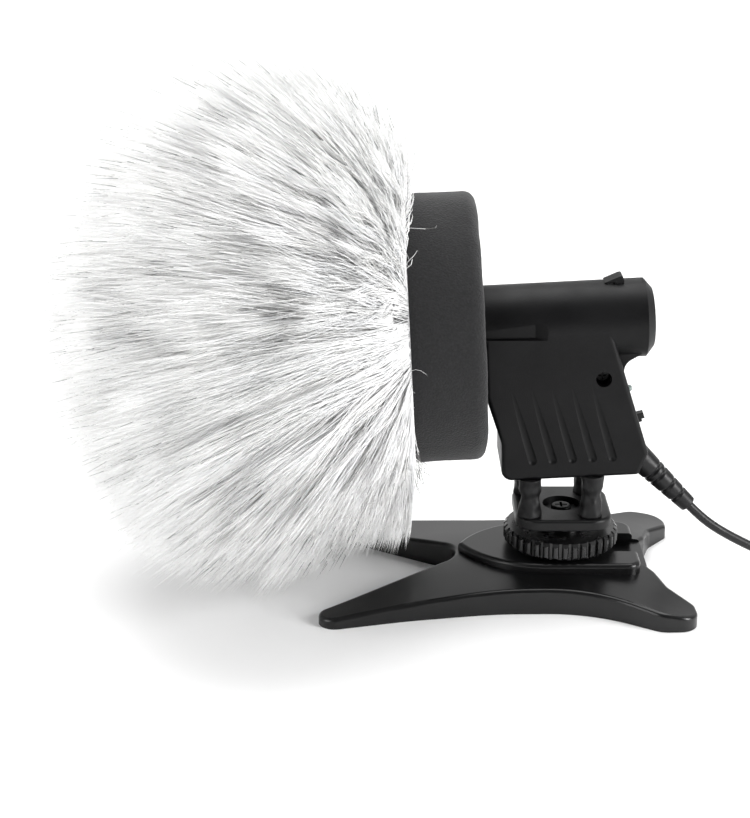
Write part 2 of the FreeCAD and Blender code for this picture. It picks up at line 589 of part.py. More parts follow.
def plug():
    """A straight 3.5 mm stereo plug beside the coil: its moulded body, and its metal pin."""
    start = V(PLUG_X, PLUG_Y, PLUG_R)
    lengths = dict(PLUG_PARTS)
    body_start = start + Y_AXIS * lengths["relief"]
    pin_start = body_start + Y_AXIS * lengths["body"]
    relief = Part.makeCone(1.7, 2.6, lengths["relief"], start, Y_AXIS)
    shaft = rounded(Part.makeCylinder(PLUG_R, lengths["body"], body_start, Y_AXIS), 0.6, lambda e: e.Length > 15)
    rings = [pin_start + Y_AXIS * along for along in (6.3, 9.3)]
    pin = Part.makeCylinder(1.75, lengths["pin"] - 2.0, pin_start, Y_AXIS)
    pin = pin.fuse(Part.makeCone(1.75, 0.7, 2.0, pin_start + Y_AXIS * (lengths["pin"] - 2.0), Y_AXIS))
    bands = [Part.makeCylinder(2.2, 0.7, at, Y_AXIS).cut(Part.makeCylinder(1.5, 0.7, at, Y_AXIS)) for at in rings]
    return relief.fuse(shaft).removeSplitter(), pin.cut(bands).removeSplitter()


# ---- windscreen ------------------------------------------------------------------------------
def oval(centre_x, reach, radius, start, end, steps=10):
    """Points of an ellipse about (centre_x, 0), between two angles in degrees from +x."""
    angles = [math.radians(start + (end - start) * k / steps) for k in range(steps + 1)]
    return [(centre_x + reach * math.cos(a), radius * math.sin(a)) for a in angles]


def turned_oval(points, rear_x, lift=0.0):
    """A smooth curve through (x, radius) points, closed to the axis, turned about z = lift."""
    curve = Part.BSplineCurve()
    curve.interpolate([V(x, 0, z + lift) for x, z in points])
    front_x, rear_r = points[-1][0], points[0][1]
    corners = [V(front_x, 0, lift), V(rear_x, 0, lift), V(rear_x, 0, rear_r + lift)]
    if points[0][0] != rear_x:
        corners.append(V(points[0][0], 0, rear_r + lift))
    return revolve([curve.toShape()] + Part.makePolygon(corners).Edges, axis_z=lift)


def bullet(radius, rear, shoulder, front):
    """A solid cylinder with a domed front, about the microphone's axis."""
    return turned_oval(oval(shoulder, shoulder - front, radius, 90, 180), rear)


def foam_windscreen():
    foam = bullet(FOAM_R, FOAM_REAR, FOAM_SHOULDER, FOAM_FRONT)
    foam = rounded(foam, 3.0, lambda e: in_plane(e, "X", FOAM_REAR) and e.Length > 100)
    return foam.cut(cylinder(FOAM_BORE_R, (GRILLE_FRONT - 1.0, 0, 0), (FOAM_REAR + 1, 0, 0)))


def fur_backing():
    """The knitted skin that the pile grows from, a loose sock over the foam."""
    gap, thick = PLAY, BACKING_THICK
    rear = HEM_X - HEM_WIDTH
    outer = bullet(FOAM_R + gap + thick, rear, FOAM_SHOULDER, FOAM_FRONT - gap - thick)
    return outer.cut(bullet(FOAM_R + gap, rear, FOAM_SHOULDER, FOAM_FRONT - gap))


def fur_hem():
    """The elastic hem that grips the foam."""
    return tube(FOAM_R + PLAY + 1.6, FOAM_R + PLAY, (HEM_X - HEM_WIDTH, 0, 0), (HEM_X, 0, 0))


def pile_body(inset):
    """The fur's outside as two half-ellipses of revolution, cut square at the hem."""
    r, rear_a, front_a = PILE_R - inset, PILE_REAR_A - inset, PILE_FRONT_A - inset
    rear_x = HEM_X - 0.4 - inset
    hem_angle = math.degrees(math.acos((rear_x - PILE_CENTRE_X) / rear_a))
    rear = oval(PILE_CENTRE_X, rear_a, r, hem_angle, 90)
    front = oval(PILE_CENTRE_X, front_a, r, 90, 180)
    return turned_oval(rear + front[1:], rear_x, PILE_LIFT)


def fur_pile():
    """A thin shell at the tips of the hair; between it and the backing there is mostly air."""
    shell = pile_body(0).cut(pile_body(PILE_SHELL))
    return shell.cut(cylinder(FOAM_R + PLAY + 1.9, (-80, 0, 0), (0, 0, 0)))


# ---- everything ------------------------------------------------------------------------------
def main():
    os.makedirs("parts", exist_ok=True)
    near, far = case_shells()
    plug_body, plug_pin = plug()
    world = {
        "stand_base": stand_base(),
        "tripod_insert": tripod_insert(),
        "shoe_foot": shoe_foot(),
        "shoe_stud": shoe_stud(),
        "clamp_washer": clamp_washer(),
        "thumb_wheel": thumb_wheel(),
        "mount_plate": mount_plate(),
        "mount_screw": mount_screw(),
        "strain_relief": strain_relief(),
        "cord": cord(),
        "cord_coil": cord_coil(),
        "plug_body": plug_body,
        "plug_pin": plug_pin,
    }
    for end, x in (("front", POST_FRONT), ("rear", POST_REAR)):
        world[f"post_{end}_near"] = rubber_post(x, -POST_Y)
        world[f"post_{end}_far"] = rubber_post(x, POST_Y)
    on_mic = {
        "case_near": near,
        "case_far": far,
        "case_screw": case_screw(),
        "circuit_board": circuit_board(),
        "switch_body": switch_body(),
        "switch_knob": switch_knob(),
        "power_led": power_led(),
        "battery": battery(),
        "front_contact": front_contact(),
        "battery_spring": battery_spring(),
        "battery_cap": battery_cap(),
        "cap_latch": cap_latch(),
        "head_tube": head_tube(),
        "head_grille": head_grille(),
        "capsule_carrier": capsule_carrier(),
        "capsule_left": capsule(1),
        "capsule_right": capsule(-1),
        "foam_windscreen": foam_windscreen(),
        "fur_backing": fur_backing(),
        "fur_hem": fur_hem(),
        "fur_pile": fur_pile(),
    }
    for name, shape in world.items():
        export(name, shape)
    for name, shape in on_mic.items():
        export(name, placed(shape))


main()
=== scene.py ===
"""The looks of a small stereo microphone in its furry windscreen, on a shoe mount and a table stand.

Metres, in the CAD's own frame: the origin is on the table under the mount's thumb wheel, +X towards
the microphone's rear and +Z up.  The microphone, its foam and its fur are worked out in the
microphone's frame (x along its axis, z up) and placed with MIC.  Order: camera and cord, soft
pieces, fur, materials of the CAD nodes, floor and light.
"""
import math

import bpy
import numpy as np
from mathutils import Matrix, Vector, noise


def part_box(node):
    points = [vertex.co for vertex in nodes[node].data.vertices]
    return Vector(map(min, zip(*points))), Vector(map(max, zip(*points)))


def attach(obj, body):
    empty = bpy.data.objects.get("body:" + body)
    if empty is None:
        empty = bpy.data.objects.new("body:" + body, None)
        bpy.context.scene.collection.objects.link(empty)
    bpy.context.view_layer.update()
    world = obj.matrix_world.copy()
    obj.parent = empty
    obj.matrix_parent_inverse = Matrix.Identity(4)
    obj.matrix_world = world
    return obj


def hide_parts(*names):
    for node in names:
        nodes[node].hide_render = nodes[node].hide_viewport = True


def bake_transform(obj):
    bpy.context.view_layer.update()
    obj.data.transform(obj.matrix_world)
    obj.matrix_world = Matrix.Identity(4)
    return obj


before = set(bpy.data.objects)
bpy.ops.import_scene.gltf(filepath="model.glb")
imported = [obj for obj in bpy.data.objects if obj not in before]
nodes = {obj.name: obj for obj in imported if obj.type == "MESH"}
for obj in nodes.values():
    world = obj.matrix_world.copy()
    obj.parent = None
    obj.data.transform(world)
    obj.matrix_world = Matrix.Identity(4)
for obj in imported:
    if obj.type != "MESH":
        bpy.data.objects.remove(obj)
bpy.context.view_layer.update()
rng = np.random.default_rng(11)

DROOP = math.radians(3.0)  # the microphone hangs nose down by this much
MIC = Matrix.Translation((-0.0004, 0, 0.0785)) @ Matrix.Rotation(-DROOP, 4, "Y")

# windscreen, in the microphone's frame
FOAM_R, FOAM_REAR, FOAM_SHOULDER, FOAM_FRONT, FOAM_BORE = 0.0375, -0.0241, -0.076, -0.107, 0.0122
KNIT_R, KNIT_FRONT = 0.0387, -0.1082
HEM_X, HEM_WIDTH = -0.0439, 0.0032
PILE_CENTRE = (-0.090, 0.0, 0.005)
PILE_R, PILE_REAR, PILE_FRONT = 0.0735, 0.066, 0.054
HAIR_STEPS = np.array([0.0, 0.30, 0.60, 0.85, 1.0])
HAIR_WIDTHS = np.array([[0.00013, 0.00013, 0.00011, 0.00007, 0.0]])
GUARD_WIDTHS = np.array([[0.00008, 0.00008, 0.00009, 0.00007, 0.0]])
HUB = np.array([HEM_X, 0.0, -0.003])  # the hair fans out from here
SKIN_DEPTH = 0.0004  # how far under the knit a hair is rooted
LOCKS, TUFTS, HAIRS = 1100, 12, 10  # tufts in a lock, hairs in a tuft
GUARDS, STRAYS, GORES = 3600, 24, 18
LEAN = 0.24  # how far the pile is turned towards the nose
TABLE_GAP, STAND_GAP = 0.0008, 0.0119  # lowest height of the hair, ahead of the stand and over it

# cord, in the world frame
CORD_R = 0.00135
CORD_ROUTE = [
    (0.0366, 0, 0.0231), (0.0401, 0, 0.0195), (0.0446, 0, 0.0159), (0.0500, 0.0001, 0.0126),
    (0.0559, 0.0002, 0.0095), (0.0620, 0.0003, 0.0064), (0.0683, 0.0003, 0.0036), (0.0750, 0.0003, 0.0019),
    (0.0800, 0.0004, 0.0014),
]
COIL_CENTRE, COIL_R, COIL_TURNS, COIL_STEPS = (0.084, 0.0152), 0.01485, 3.25, 16
COIL_EASE = 1.013  # the smooth cord cuts inside its points by this much
PLUG_END = (0.0975, 0.027, 0.0033)

# sleeve on the cord and rubber posts under the grip
RELIEF_LENGTH, RELIEF_ROOT, RELIEF_TIP, RELIEF_DIP = 0.025, 0.0041, 0.00245, math.radians(44.5)
RELIEF_SLOTS, RELIEF_SLOT_DEPTH, RELIEF_SLOT_HALF = (0.394, 0.484, 0.654, 0.814), 0.00055, 0.016
POST_R, POST_WAIST, POST_LUMPS = 0.0033, 0.0006, 0.00050  # how deep the waist and how high the lumps are


# ---- making objects ---------------------------------------------------------------------------
def add(name, data, body=None, replaces=()):
    """A new object that rides on a CAD body."""
    piece = bpy.data.objects.new(name, data)
    bpy.context.scene.collection.objects.link(piece)
    if body:
        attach(piece, body)
    if replaces:
        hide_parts(*replaces)
    return piece


def mesh_from(name, points, faces, material, place=None):
    """A smooth-shaded mesh, moved by place."""
    mesh = bpy.data.meshes.new(name)
    mesh.from_pydata([tuple(p) for p in points], [], faces)
    if place:
        mesh.transform(place)
    mesh.polygons.foreach_set("use_smooth", [True] * len(mesh.polygons))
    mesh.materials.append(material)
    return mesh


def lathe(name, profile, around, material, place=None, shape=None, closed=True):
    """Turns (x, radius) points about the x axis; shape(x, radius, angle) may move a point."""
    points = []
    for k in range(around):
        angle = 2 * math.pi * k / around
        for x, radius in profile:
            if shape:
                x, radius = shape(x, radius, angle)
            points.append((x, radius * math.sin(angle), radius * math.cos(angle)))
    return mesh_from(name, points, turned_faces(len(profile), around, closed), material, place)


def turned_faces(count, around, closed=True):
    """Faces between neighbouring copies of a profile of count points."""
    faces = []
    for k in range(around):
        here, ahead = k * count, (k + 1) % around * count
        for j in range(count if closed else count - 1):
            up = (j + 1) % count
            faces.append((here + j, here + up, ahead + up, ahead + j))
    return faces


def arc(centre_x, centre_r, reach, rise, start, end, steps):
    """Points of an elliptical arc in the (x, radius) plane, angles in degrees from +x."""
    angles = [math.radians(start + (end - start) * k / steps) for k in range(steps + 1)]
    return [(centre_x + reach * math.cos(a), centre_r + rise * math.sin(a)) for a in angles]


def line(start, end, steps):
    """Points between two (x, radius) points, without the ends."""
    mix = [(k + 1) / (steps + 1) for k in range(steps)]
    return [tuple(a + (b - a) * t for a, b in zip(start, end)) for t in mix]


# ---- materials --------------------------------------------------------------------------------
def principled(name, colour, roughness, **sockets):
    """A plain shader; other sockets are named with _ for a space."""
    material = bpy.data.materials.new(name)
    material.use_nodes = True
    shader = material.node_tree.nodes["Principled BSDF"]
    shader.inputs["Base Color"].default_value = (*colour, 1)
    shader.inputs["Roughness"].default_value = roughness
    for socket, value in sockets.items():
        shader.inputs[socket.replace("_", " ")].default_value = value
    return material


def noise_node(tree, scale, detail=4.0, stretch=(1, 1, 1)):
    """Noise over the object's own coordinates, whatever UVs it has."""
    where = tree.nodes.new("ShaderNodeTexCoord")
    mapping = tree.nodes.new("ShaderNodeMapping")
    mapping.inputs["Scale"].default_value = stretch
    texture = tree.nodes.new("ShaderNodeTexNoise")
    texture.inputs["Scale"].default_value = scale
    texture.inputs["Detail"].default_value = detail
    tree.links.new(where.outputs["Object"], mapping.inputs["Vector"])
    tree.links.new(mapping.outputs["Vector"], texture.inputs["Vector"])
    return texture


def vary_colour(material, low, high, scale, stretch=(1, 1, 1)):
    """The base colour wanders between two colours."""
    tree = material.node_tree
    texture = noise_node(tree, scale, 5.0, stretch)
    ramp = tree.nodes.new("ShaderNodeValToRGB")
    ramp.color_ramp.elements[0].position, ramp.color_ramp.elements[1].position = 0.35, 0.68
    ramp.color_ramp.elements[0].color = (*low, 1)
    ramp.color_ramp.elements[1].color = (*high, 1)
    tree.links.new(texture.outputs["Fac"], ramp.inputs["Fac"])
    tree.links.new(ramp.outputs["Color"], tree.nodes["Principled BSDF"].inputs["Base Color"])


def vary_roughness(material, low, high, scale, stretch=(1, 1, 1)):
    tree = material.node_tree
    texture = noise_node(tree, scale, 3.0, stretch)
    remap = tree.nodes.new("ShaderNodeMapRange")
    remap.inputs["From Min"].default_value, remap.inputs["From Max"].default_value = 0.3, 0.7
    remap.inputs["To Min"].default_value, remap.inputs["To Max"].default_value = low, high
    tree.links.new(texture.outputs["Fac"], remap.inputs["Value"])
    tree.links.new(remap.outputs["Result"], tree.nodes["Principled BSDF"].inputs["Roughness"])


def add_bump(material, texture_output, height, strength=1.0):
    """A bump of that height in metres, on top of any bump the material has already."""
    tree = material.node_tree
    bump = tree.nodes.new("ShaderNodeBump")
    bump.inputs["Distance"].default_value = height
    bump.inputs["Strength"].default_value = strength
    normal = tree.nodes["Principled BSDF"].inputs["Normal"]
    if normal.is_linked:
        tree.links.new(normal.links[0].from_socket, bump.inputs["Normal"])
    tree.links.new(texture_output, bump.inputs["Height"])
    tree.links.new(bump.outputs["Normal"], normal)


def moulded(name, low, high, rough, grain=2600, grain_height=0.00003, shine=0.3, **sockets):
    """Black or coloured moulded plastic: fine grain, faint mottling, uneven gloss."""
    material = principled(name, high, rough[1], Specular_IOR_Level=shine, **sockets)
    vary_colour(material, low, high, 60)
    vary_roughness(material, rough[0], rough[1], 140)
    add_bump(material, noise_node(material.node_tree, grain, 2.0).outputs["Fac"], grain_height)
    return material


def rubbery(name, low, high, rough, lumps=420, lump_height=0.00012):
    material = moulded(name, low, high, rough, 1800, 0.00004)
    add_bump(material, noise_node(material.node_tree, lumps, 3.0).outputs["Fac"], lump_height)
    return material


def metal(name, low, high, rough, stretch=(1, 1, 1), scale=500):
    """Metal with fine marks, drawn out along one axis where stretch says so."""
    material = principled(name, high, rough[1], Metallic=1.0)
    vary_colour(material, low, high, scale, stretch)
    vary_roughness(material, rough[0], rough[1], scale * 1.5, stretch)
    add_bump(material, noise_node(material.node_tree, scale * 3, 2.0, stretch).outputs["Fac"], 0.000012)
    return material


def voronoi_node(tree, scale, feature="F1"):
    where = tree.nodes.new("ShaderNodeTexCoord")
    cells = tree.nodes.new("ShaderNodeTexVoronoi")
    cells.feature = feature
    cells.inputs["Scale"].default_value = scale
    tree.links.new(where.outputs["Object"], cells.inputs["Vector"])
    return cells


def foam_material():
    """Open-celled acoustic foam: tiny pits, no gloss."""
    material = principled("black_foam", (0.012, 0.012, 0.013), 0.92)
    material.node_tree.nodes["Principled BSDF"].inputs["Sheen Weight"].default_value = 0.14
    material.node_tree.nodes["Principled BSDF"].inputs["Sheen Roughness"].default_value = 0.45
    vary_colour(material, (0.006, 0.006, 0.0065), (0.013, 0.013, 0.014), 1500)
    add_bump(material, voronoi_node(material.node_tree, 1900).outputs["Distance"], 0.00016, 0.7)
    add_bump(material, noise_node(material.node_tree, 260, 3.0).outputs["Fac"], 0.00005, 0.4)
    return material


def knit_material(name, low, high, ribs):
    """A fine knit: courses across and wales along, as crossed waves."""
    material = principled(name, high, 0.9)
    tree = material.node_tree
    vary_colour(material, low, high, 700)
    where = tree.nodes.new("ShaderNodeTexCoord")
    for direction in ("X", "Z"):
        wave = tree.nodes.new("ShaderNodeTexWave")
        wave.bands_direction = direction
        wave.inputs["Scale"].default_value = ribs
        wave.inputs["Distortion"].default_value = 1.2
        tree.links.new(where.outputs["Object"], wave.inputs["Vector"])
        add_bump(material, wave.outputs["Fac"], 0.0001, 0.6)
    return material


# ---- camera -----------------------------------------------------------------------------------
def camera():
    """From the microphone's side, half a metre away, looking 20 degrees down."""
    data = bpy.data.cameras.new("camera")
    data.sensor_fit, data.sensor_width, data.lens = "HORIZONTAL", 36.0, 88.47
    data.clip_start, data.clip_end = 0.02, 30.0
    viewer = add("camera", data)
    viewer.location = (-0.05386, -0.49202, 0.23130)
    viewer.rotation_euler = (math.radians(70.0), 0, 0)
    bpy.context.scene.camera = viewer


# ---- cord -------------------------------------------------------------------------------------
def smooth(t):
    """An even rise from 0 to 1."""
    return t * t * (3 - 2 * t)


def coil_points():
    """Two turns on the table, winding inwards, and one and a quarter on top of them.

    t counts turns; the cord comes in at the near side heading +X and goes round to the left.
    """
    points = []
    for k in range(int(COIL_TURNS * COIL_STEPS) + 1):
        t = k / COIL_STEPS
        angle = math.radians(-90 + 360 * t)
        climb = min(max((t - 2.0) / 0.2, 0), 1)
        out = min(max((t - 2.25) / 0.3, 0), 1)
        radius = COIL_R - 2 * CORD_R * min(t, 2.0) + 0.0012 * climb + 0.0029 * smooth(out)
        height = CORD_R + 2 * CORD_R * smooth(climb)
        x = COIL_CENTRE[0] + COIL_EASE * radius * math.cos(angle)
        points.append((x, COIL_CENTRE[1] + COIL_EASE * radius * math.sin(angle), height))
    return points


def cord():
    """The lead: down from the sleeve, along the table into its coil and up to the plug."""
    x, y, z = PLUG_END
    points = CORD_ROUTE + coil_points() + [(x, y - 0.0065, z + 0.0004), (x, y - 0.0025, z), PLUG_END]
    curve = bpy.data.curves.new("cord", "CURVE")
    curve.dimensions = "3D"
    curve.bevel_depth, curve.bevel_resolution, curve.resolution_u = CORD_R, 5, 8
    curve.use_fill_caps = True
    spline = curve.splines.new("NURBS")
    spline.points.add(len(points) - 1)
    for point, where in zip(spline.points, points):
        point.co = (*where, 1)
    spline.order_u = 3
    spline.use_endpoint_u = True
    dark, light = (0.009, 0.009, 0.0095), (0.015, 0.015, 0.016)
    jacket = rubbery("cord_jacket", dark, light, (0.34, 0.46), 900, 0.00003)
    curve.materials.append(jacket)
    lead = add("microphone_cord", curve, "microphone", ("cord", "cord_coil"))


def strain_relief(material):
    """A tapered sleeve with ring slots, from the grip's lower rear corner to the cord."""
    length, root, tip = RELIEF_LENGTH, RELIEF_ROOT, RELIEF_TIP
    profile = [(0.0, 0.0006), (0.0, root)]
    steps = 120
    for k in range(steps + 1):
        along = k / steps
        radius = root + (tip - root) * along
        for slot_at in RELIEF_SLOTS:
            radius -= RELIEF_SLOT_DEPTH * math.exp(-(((along - slot_at) / RELIEF_SLOT_HALF) ** 4))
        profile.append((length * along, radius))
    profile += arc(length - 0.0004, tip - 0.0004, 0.0006, 0.0004, 60, 0, 3) + [(length, 0.0011)]
    direction = Vector((math.cos(RELIEF_DIP), 0, -math.sin(RELIEF_DIP)))
    start = Vector(CORD_ROUTE[0]) - direction * length
    place = Matrix.Translation(start) @ Matrix.Rotation(RELIEF_DIP, 4, "Y")
    sleeve = lathe("strain_relief_sleeve", profile, 48, material, place)
    add("strain_relief_sleeve", sleeve, "microphone", ("strain_relief",))


def rubber_posts(material):
    """Four lumpy isolating posts, each with a waist, between the plate and the microphone."""
    for name in ("front_near", "front_far", "rear_near", "rear_far"):
        low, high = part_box("post_" + name)
        centre, height = (low + high) / 2, high.z - low.z
        seed = Vector((centre.x * 900, centre.y * 900, 0))
        profile = [(0.0, 0.0002), (0.0, 0.0032)]
        for k in range(41):
            t = k / 40
            waist = POST_R - POST_WAIST * math.sin(math.pi * t) ** 2
            rings = 0.00010 * math.cos(2 * math.pi * t * 3.0)
            profile.append((height * t, waist + rings))
        profile += [(height, 0.0032), (height, 0.0002)]

        def lumpy(x, radius, angle):
            if radius < 0.001:
                return x, radius
            at = seed + Vector((x * 300, 1.6 * math.cos(angle), 1.6 * math.sin(angle)))
            return x, radius + POST_LUMPS * noise.noise(at)

        place = Matrix.Translation((centre.x, centre.y, low.z)) @ Matrix.Rotation(-math.pi / 2, 4, "Y")
        post = add("rubber_post_" + name, lathe("rubber_post", profile, 40, material, place, lumpy))
        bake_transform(post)
        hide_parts("post_" + name)


# ---- foam, knit and hem -----------------------------------------------------------------------
def foam():
    """The foam windscreen: a thick bullet-shaped sleeve with soft, slightly uneven skin."""
    rear_arc = arc(FOAM_REAR - 0.0034, FOAM_R - 0.0034, 0.0034, 0.0034, 0, 90, 10)
    dome = arc(FOAM_SHOULDER, 0, FOAM_SHOULDER - FOAM_FRONT, FOAM_R, 90, 179, 34)
    inner = [(-0.098, 0.0005), (-0.098, FOAM_BORE)]
    profile = inner + line(inner[-1], (FOAM_REAR, FOAM_BORE), 30) + [(FOAM_REAR, FOAM_BORE)]
    profile += line((FOAM_REAR, FOAM_BORE), rear_arc[0], 16) + rear_arc
    profile += line(rear_arc[-1], dome[0], 40) + dome

    def uneven(x, radius, angle):
        at = Vector((x * 90, radius * 90 * math.cos(angle), radius * 90 * math.sin(angle)))
        push = 0.00022 * noise.noise(at) + 0.00008 * noise.noise(at * 6)
        if radius < FOAM_BORE + 0.001:
            return x, radius
        return x + (push if x > FOAM_REAR - 0.003 else 0), radius + push

    mesh = lathe("foam_sleeve", profile, 180, foam_material(), MIC, uneven)
    sleeve = add("foam_sleeve", mesh, "foam", ("foam_windscreen",))


def knit_profile():
    """The sock from its hem along the foam and over the nose."""
    tube_end = (FOAM_SHOULDER, KNIT_R)
    hem = (HEM_X - HEM_WIDTH + 0.0002, KNIT_R)
    nose = arc(FOAM_SHOULDER, 0, FOAM_SHOULDER - KNIT_FRONT, KNIT_R, 90, 179.5, 40)
    return [hem] + line(hem, tube_end, 24) + nose


def knit_and_hem():
    """The sewn sock that the pile grows from, and the gathered elastic at its mouth."""
    # The knit is painted shade: mid grey, so that where it shows between the hairs it passes for shadowed
    # fur.
    light = knit_material("pile_knit_painted_shade", (0.52, 0.52, 0.52), (0.68, 0.68, 0.67), 700)
    sock = lathe("knit_sock", knit_profile(), 144, light, MIC, closed=False)
    sock = add("knit_sock", sock, "fur_cover", ("fur_backing",))
    elastic = knit_material("hem_elastic", (0.30, 0.30, 0.31), (0.45, 0.45, 0.45), 1100)
    inner, outer = FOAM_R + 0.00035, FOAM_R + 0.0017
    front, rear = HEM_X - HEM_WIDTH, HEM_X
    profile = [(front, inner), (rear, inner)] + line((rear, inner), (rear, outer), 2)
    profile += arc(rear - 0.0006, outer - 0.0006, 0.0006, 0.0006, 0, 90, 5)
    profile += line((rear - 0.0006, outer), (front, outer), 8) + [(front, outer)]

    def gathers(x, radius, angle):
        fold = 0.5 + 0.5 * math.cos(84 * angle + 1.2 * math.sin(5 * angle))
        return x, radius - (0.00045 * fold if radius > inner + 0.0004 else 0)

    band = lathe("elastic_hem", profile, 504, elastic, MIC, gathers)
    band = add("elastic_hem", band, "fur_cover", ("fur_hem",))


# ---- fur --------------------------------------------------------------------------------------
def unit(vectors):
    return vectors / np.linalg.norm(vectors, axis=-1, keepdims=True)


def spread(directions, count, amount):
    """count copies of each direction, each turned a little."""
    copies = np.repeat(directions, count, axis=0)
    return unit(copies + rng.normal(0, amount, copies.shape))


def knit_distance(directions):
    """How far the knit is from the hub's axis point along each direction, from a table."""
    profile = np.array(knit_profile())
    away = np.arctan2(HEM_X - profile[:, 0], profile[:, 1])
    reach = np.hypot(HEM_X - profile[:, 0], profile[:, 1])
    order = np.argsort(away)
    angle = np.arctan2(-directions[:, 0], np.hypot(directions[:, 1], directions[:, 2]))
    return np.interp(angle, away[order], reach[order])


def pile_distance(start, directions):
    """How far the outside of the pile is from the hub: two half-ellipsoids of revolution."""
    def along(half_length):
        scale = np.array([half_length, PILE_R, PILE_R])
        a, b = directions / scale, (start - np.array(PILE_CENTRE)) / scale
        aa, ab, bb = (a * a).sum(1), (a * b).sum(1), (b * b).sum(-1)
        return (-ab + np.sqrt(np.maximum(ab * ab - aa * (bb - 1), 0))) / aa

    rear, front = along(PILE_REAR), along(PILE_FRONT)
    in_front = start[0] + rear * directions[:, 0] < PILE_CENTRE[0]
    return np.where(in_front, front, rear)


def combed(directions):
    """Each direction turned towards the nose, most at 45 degrees from it, and parted on the sides.

    On the sides the pile lies up above the parting, down below it and forward between.
    """
    x, y, z = directions.T
    rise = z - 0.16
    rise = rise + 0.20 * y * y * np.tanh(rise / 0.25)
    directions = unit(np.stack([x - 0.30 * y * y * np.exp(-((rise / 0.42) ** 2)), 0.84 * y, rise], 1))
    slope = np.arctan2(-directions[:, 0], np.hypot(directions[:, 1], directions[:, 2]))
    slope = slope + LEAN * np.sin(2 * np.clip(slope, 0, np.pi / 2))
    around = np.arctan2(directions[:, 1], directions[:, 2])
    return np.stack([-np.sin(slope), np.cos(slope) * np.sin(around), np.cos(slope) * np.cos(around)], 1)


def hanging(tips):
    """Longer hair straight under the hem, shorter a little ahead of it, then a long tuft."""
    change = np.interp(-tips[:, 0], [0.0, 0.1, 0.2, 0.38, 0.5, 0.6], [0.17, 0.12, 0.02, -0.10, 0.04, 0.0])
    return 1 + change * np.clip((-tips[:, 2] - 0.5) / 0.4, 0, 1)


def rooted(directions):
    """Where a hair in each direction from the hem's centre leaves the knit."""
    return np.array([HEM_X, 0.0, 0.0]) + directions * (knit_distance(directions) - SKIN_DEPTH)[:, None]


def hair_lines(roots, tips, lengths, wave):
    """Points along each hair: out of the knit, then bending over to its tip."""
    start = rooted(roots)
    end = HUB + tips * (pile_distance(HUB, tips) * lengths)[:, None]
    span = np.linalg.norm(end - start, axis=1, keepdims=True)
    forward = np.array([-1.0, 0.0, 0.0])
    leaving = unit(roots * np.array([0.35, 1, 1]) + 0.10 * forward)
    arriving = unit(tips + 0.30 * forward + np.array([0, 0, -0.16]))
    bend_a, bend_b = start + leaving * span * 0.34, end - arriving * span * 0.34
    across = unit(np.cross(tips, forward + rng.normal(0, 0.2, tips.shape)))
    rows = []
    for u in HAIR_STEPS:
        point = (1 - u) ** 3 * start + 3 * u * (1 - u) ** 2 * bend_a
        point = point + 3 * u * u * (1 - u) * bend_b + u ** 3 * end
        sway = wave[:, :1] * u * np.sin(2 * np.pi * (1.1 * u + wave[:, 1:]))
        rows.append(point + across * sway)
    return np.stack(rows, 1)


def stray_lines(count):
    """Single hairs that leave the pile's edge backwards over the foam, with a slight droop."""
    turn = rng.uniform(0, 2 * np.pi, count)
    root = unit(np.stack([np.full(count, -0.01), np.sin(turn), np.cos(turn)], 1))
    tip = unit(root + rng.normal(0, 0.10, root.shape) + np.array([0.14, 0, 0]))
    start = rooted(root)
    end = HUB + tip * (pile_distance(HUB, tip) * rng.uniform(0.60, 0.85, count))[:, None]
    along = HAIR_STEPS[None, :, None]
    return start[:, None] + (end - start)[:, None] * along - np.array([0, 0, 0.004]) * along * along


def clear_of_stand(lines):
    """Lifts the hair off the table, and above the stand where its platform slides by under the hem."""
    height = lines @ np.array(MIC.to_3x3().row[2]) + MIC.translation.z
    near_hem = np.clip((lines[..., 0] + 0.067) / 0.004, 0, 1)
    lowest = TABLE_GAP + (STAND_GAP - TABLE_GAP) * near_hem
    lines[..., 2] += np.clip(lowest - height, 0, None)
    return lines


